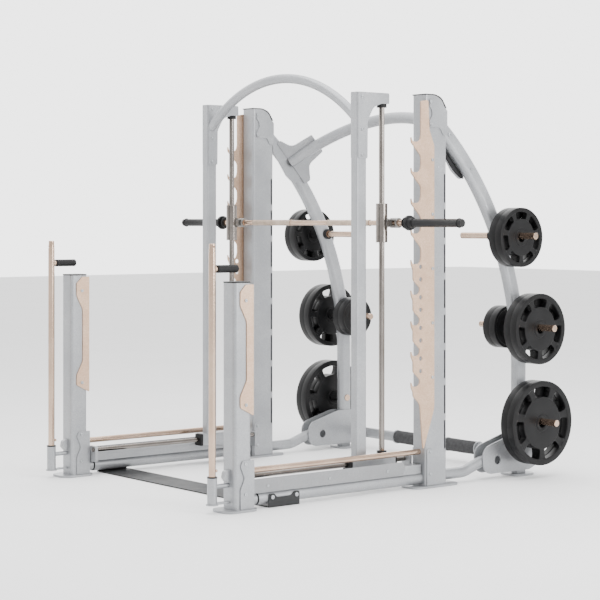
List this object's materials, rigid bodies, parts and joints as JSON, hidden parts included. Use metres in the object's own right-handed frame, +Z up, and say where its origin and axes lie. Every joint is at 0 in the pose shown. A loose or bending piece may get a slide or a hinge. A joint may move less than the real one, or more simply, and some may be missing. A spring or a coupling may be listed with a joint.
{
  "type": "smith machine",
  "caption": "Free-standing smith machine with a barbell that slides up and down on a gantry that rolls front to back, toothed catch plates, storage pegs and weight plates.",
  "frame": {"origin": "middle of the machine's footprint, on the floor", "axes": "+X across to the machine's right as seen from its open front, +Y to its back, +Z up"},
  "size_m": [2.382, 2.2925, 2.156],
  "materials": {
    "frame_paint": "satin silver powder coat",
    "cover_paint": "satin grey powder coat",
    "black_paint": "semi-gloss black powder coat",
    "catch_steel": "warm nickel-plated steel plate",
    "warm_rod": "plated bar with a warm tint",
    "polished_steel": "polished steel rod",
    "bolt_steel": "zinc-plated steel",
    "bearing_steel": "ground bearing steel",
    "black_rubber": "matt moulded rubber",
    "plate_rubber": "rubber-coated iron",
    "grip_foam": "dense closed-cell foam",
    "black_plastic": "moulded nylon"
  },
  "bodies": {
    "frame": {"front_post_left": "frame_paint", "front_post_right": "frame_paint", "post_caps": "black_plastic", "wear_plates": "catch_steel", "boot_plates": "frame_paint", "pole_sockets": "frame_paint", "pole_bushings": "black_plastic", "base_rails": "frame_paint", "rail_seals": "black_rubber", "rail_covers": "cover_paint", "guide_blocks": "frame_paint", "guide_rods": "polished_steel", "side_rods": "warm_rod", "floor_plate": "black_paint", "upright_left": "frame_paint", "upright_right": "frame_paint", "catch_plate_left": "catch_steel", "catch_plate_right": "catch_steel", "knee_plates": "frame_paint", "rear_leg_left": "frame_paint", "rear_leg_right": "frame_paint", "rear_arch": "frame_paint", "arch_gussets": "frame_paint", "clam_plates_left": "frame_paint", "clam_plates_right": "frame_paint", "foot_tubes": "frame_paint", "rear_feet": "frame_paint", "cross_tube": "frame_paint", "cross_grips": "grip_foam", "storage_pegs": "warm_rod", "peg_collars": "black_rubber", "frame_bolts": "bolt_steel"},
    "pole_left": {"lock_pole_left": "warm_rod", "pole_handle_left": "black_rubber"},
    "pole_right": {"lock_pole_right": "warm_rod", "pole_handle_right": "black_rubber"},
    "gantry": {"gantry_post_left": "frame_paint", "gantry_post_right": "frame_paint", "gantry_arch": "frame_paint", "gantry_brackets": "frame_paint", "gantry_rods": "polished_steel", "rod_bumpers": "black_rubber", "gantry_feet": "frame_paint", "guide_bearings": "bearing_steel", "guide_seals": "black_plastic", "gantry_bolts": "bolt_steel"},
    "carriage": {"carriages": "warm_rod", "carriage_bearings": "bearing_steel", "bar_saddles": "black_plastic"},
    "barbell": {"bar": "warm_rod", "bar_spools": "black_plastic", "bar_sleeves": "black_plastic"},
    "plates_upper_left": {"plates_upper_left": "plate_rubber"},
    "plates_upper_right": {"plates_upper_right": "plate_rubber"},
    "plates_middle_left": {"plates_middle_left": "plate_rubber"},
    "plates_middle_right": {"plates_middle_right": "plate_rubber"},
    "plates_lower_left": {"plates_lower_left": "plate_rubber"},
    "plates_lower_right": {"plates_lower_right": "plate_rubber"},
    "plates_inner_left": {"plates_inner_left": "plate_rubber"},
    "plates_inner_right": {"plates_inner_right": "plate_rubber"}
  },
  "joints": [
    {"name": "pole_left_turn", "type": "hinge", "parent": "frame", "child": "pole_left", "pos_m": [-0.734, -1.11675, 0.1], "axis": [0, 0, 1], "range_deg": [-90, 90]},
    {"name": "pole_right_turn", "type": "hinge", "parent": "frame", "child": "pole_right", "pos_m": [0.734, -1.11675, 0.1], "axis": [0, 0, 1], "range_deg": [-90, 90]},
    {"name": "gantry_slide", "type": "slide", "parent": "frame", "child": "gantry", "axis": [0, 1, 0], "range_m": [-0.66, 0.055]},
    {"name": "carriage_slide", "type": "slide", "parent": "gantry", "child": "carriage", "axis": [0, 0, 1], "range_m": [-1.065, 0.49]},
    {"name": "barbell_spin", "type": "hinge", "parent": "carriage", "child": "barbell", "pos_m": [0, 0.06425, 1.36], "axis": [1, 0, 0], "continuous": true},
    {"name": "plates_upper_left_slide", "type": "slide", "parent": "frame", "child": "plates_upper_left", "axis": [-1, 0, 0], "range_m": [0, 0.095]},
    {"name": "plates_upper_right_slide", "type": "slide", "parent": "frame", "child": "plates_upper_right", "axis": [1, 0, 0], "range_m": [0, 0.095]},
    {"name": "plates_middle_left_slide", "type": "slide", "parent": "frame", "child": "plates_middle_left", "axis": [-1, 0, 0], "range_m": [0, 0.095]},
    {"name": "plates_middle_right_slide", "type": "slide", "parent": "frame", "child": "plates_middle_right", "axis": [1, 0, 0], "range_m": [0, 0.095]},
    {"name": "plates_lower_left_slide", "type": "slide", "parent": "frame", "child": "plates_lower_left", "axis": [-1, 0, 0], "range_m": [0, 0.095]},
    {"name": "plates_lower_right_slide", "type": "slide", "parent": "frame", "child": "plates_lower_right", "axis": [1, 0, 0], "range_m": [0, 0.095]},
    {"name": "plates_inner_left_slide", "type": "slide", "parent": "frame", "child": "plates_inner_left", "axis": [1, 0, 0], "range_m": [0, 0.125]},
    {"name": "plates_inner_right_slide", "type": "slide", "parent": "frame", "child": "plates_inner_right", "axis": [-1, 0, 0], "range_m": [0, 0.125]}
  ]
}
